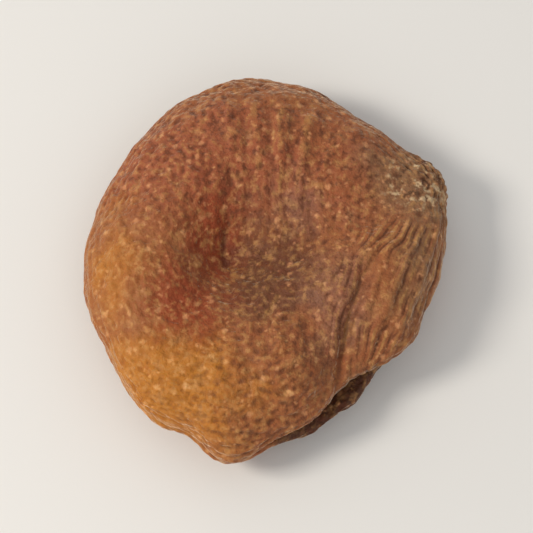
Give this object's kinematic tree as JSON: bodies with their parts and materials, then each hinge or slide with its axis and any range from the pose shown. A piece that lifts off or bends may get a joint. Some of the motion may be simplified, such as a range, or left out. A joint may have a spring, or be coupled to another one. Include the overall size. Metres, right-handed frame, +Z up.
{
  "type": "dried apricot",
  "caption": "Whole dried apricot, stoned through a slit in its edge and pressed flat, with a puffy rim, a sunken middle, a crease and wrinkled skin; lies on one cheek.",
  "frame": {"origin": "on the surface that the fruit lies on, under the middle of its outline", "axes": "+Z up, through the pressed cheeks; +Y along the longer way across; +X towards the stem end's side"},
  "size_m": [0.0398, 0.0452, 0.0114],
  "materials": {
    "dried_skin": "matte with a faint sheen, wrinkled, amber at the rim to red-brown in the sunken middle"
  },
  "bodies": {
    "root": {"apricot": "dried_skin"}
  },
  "joints": []
}
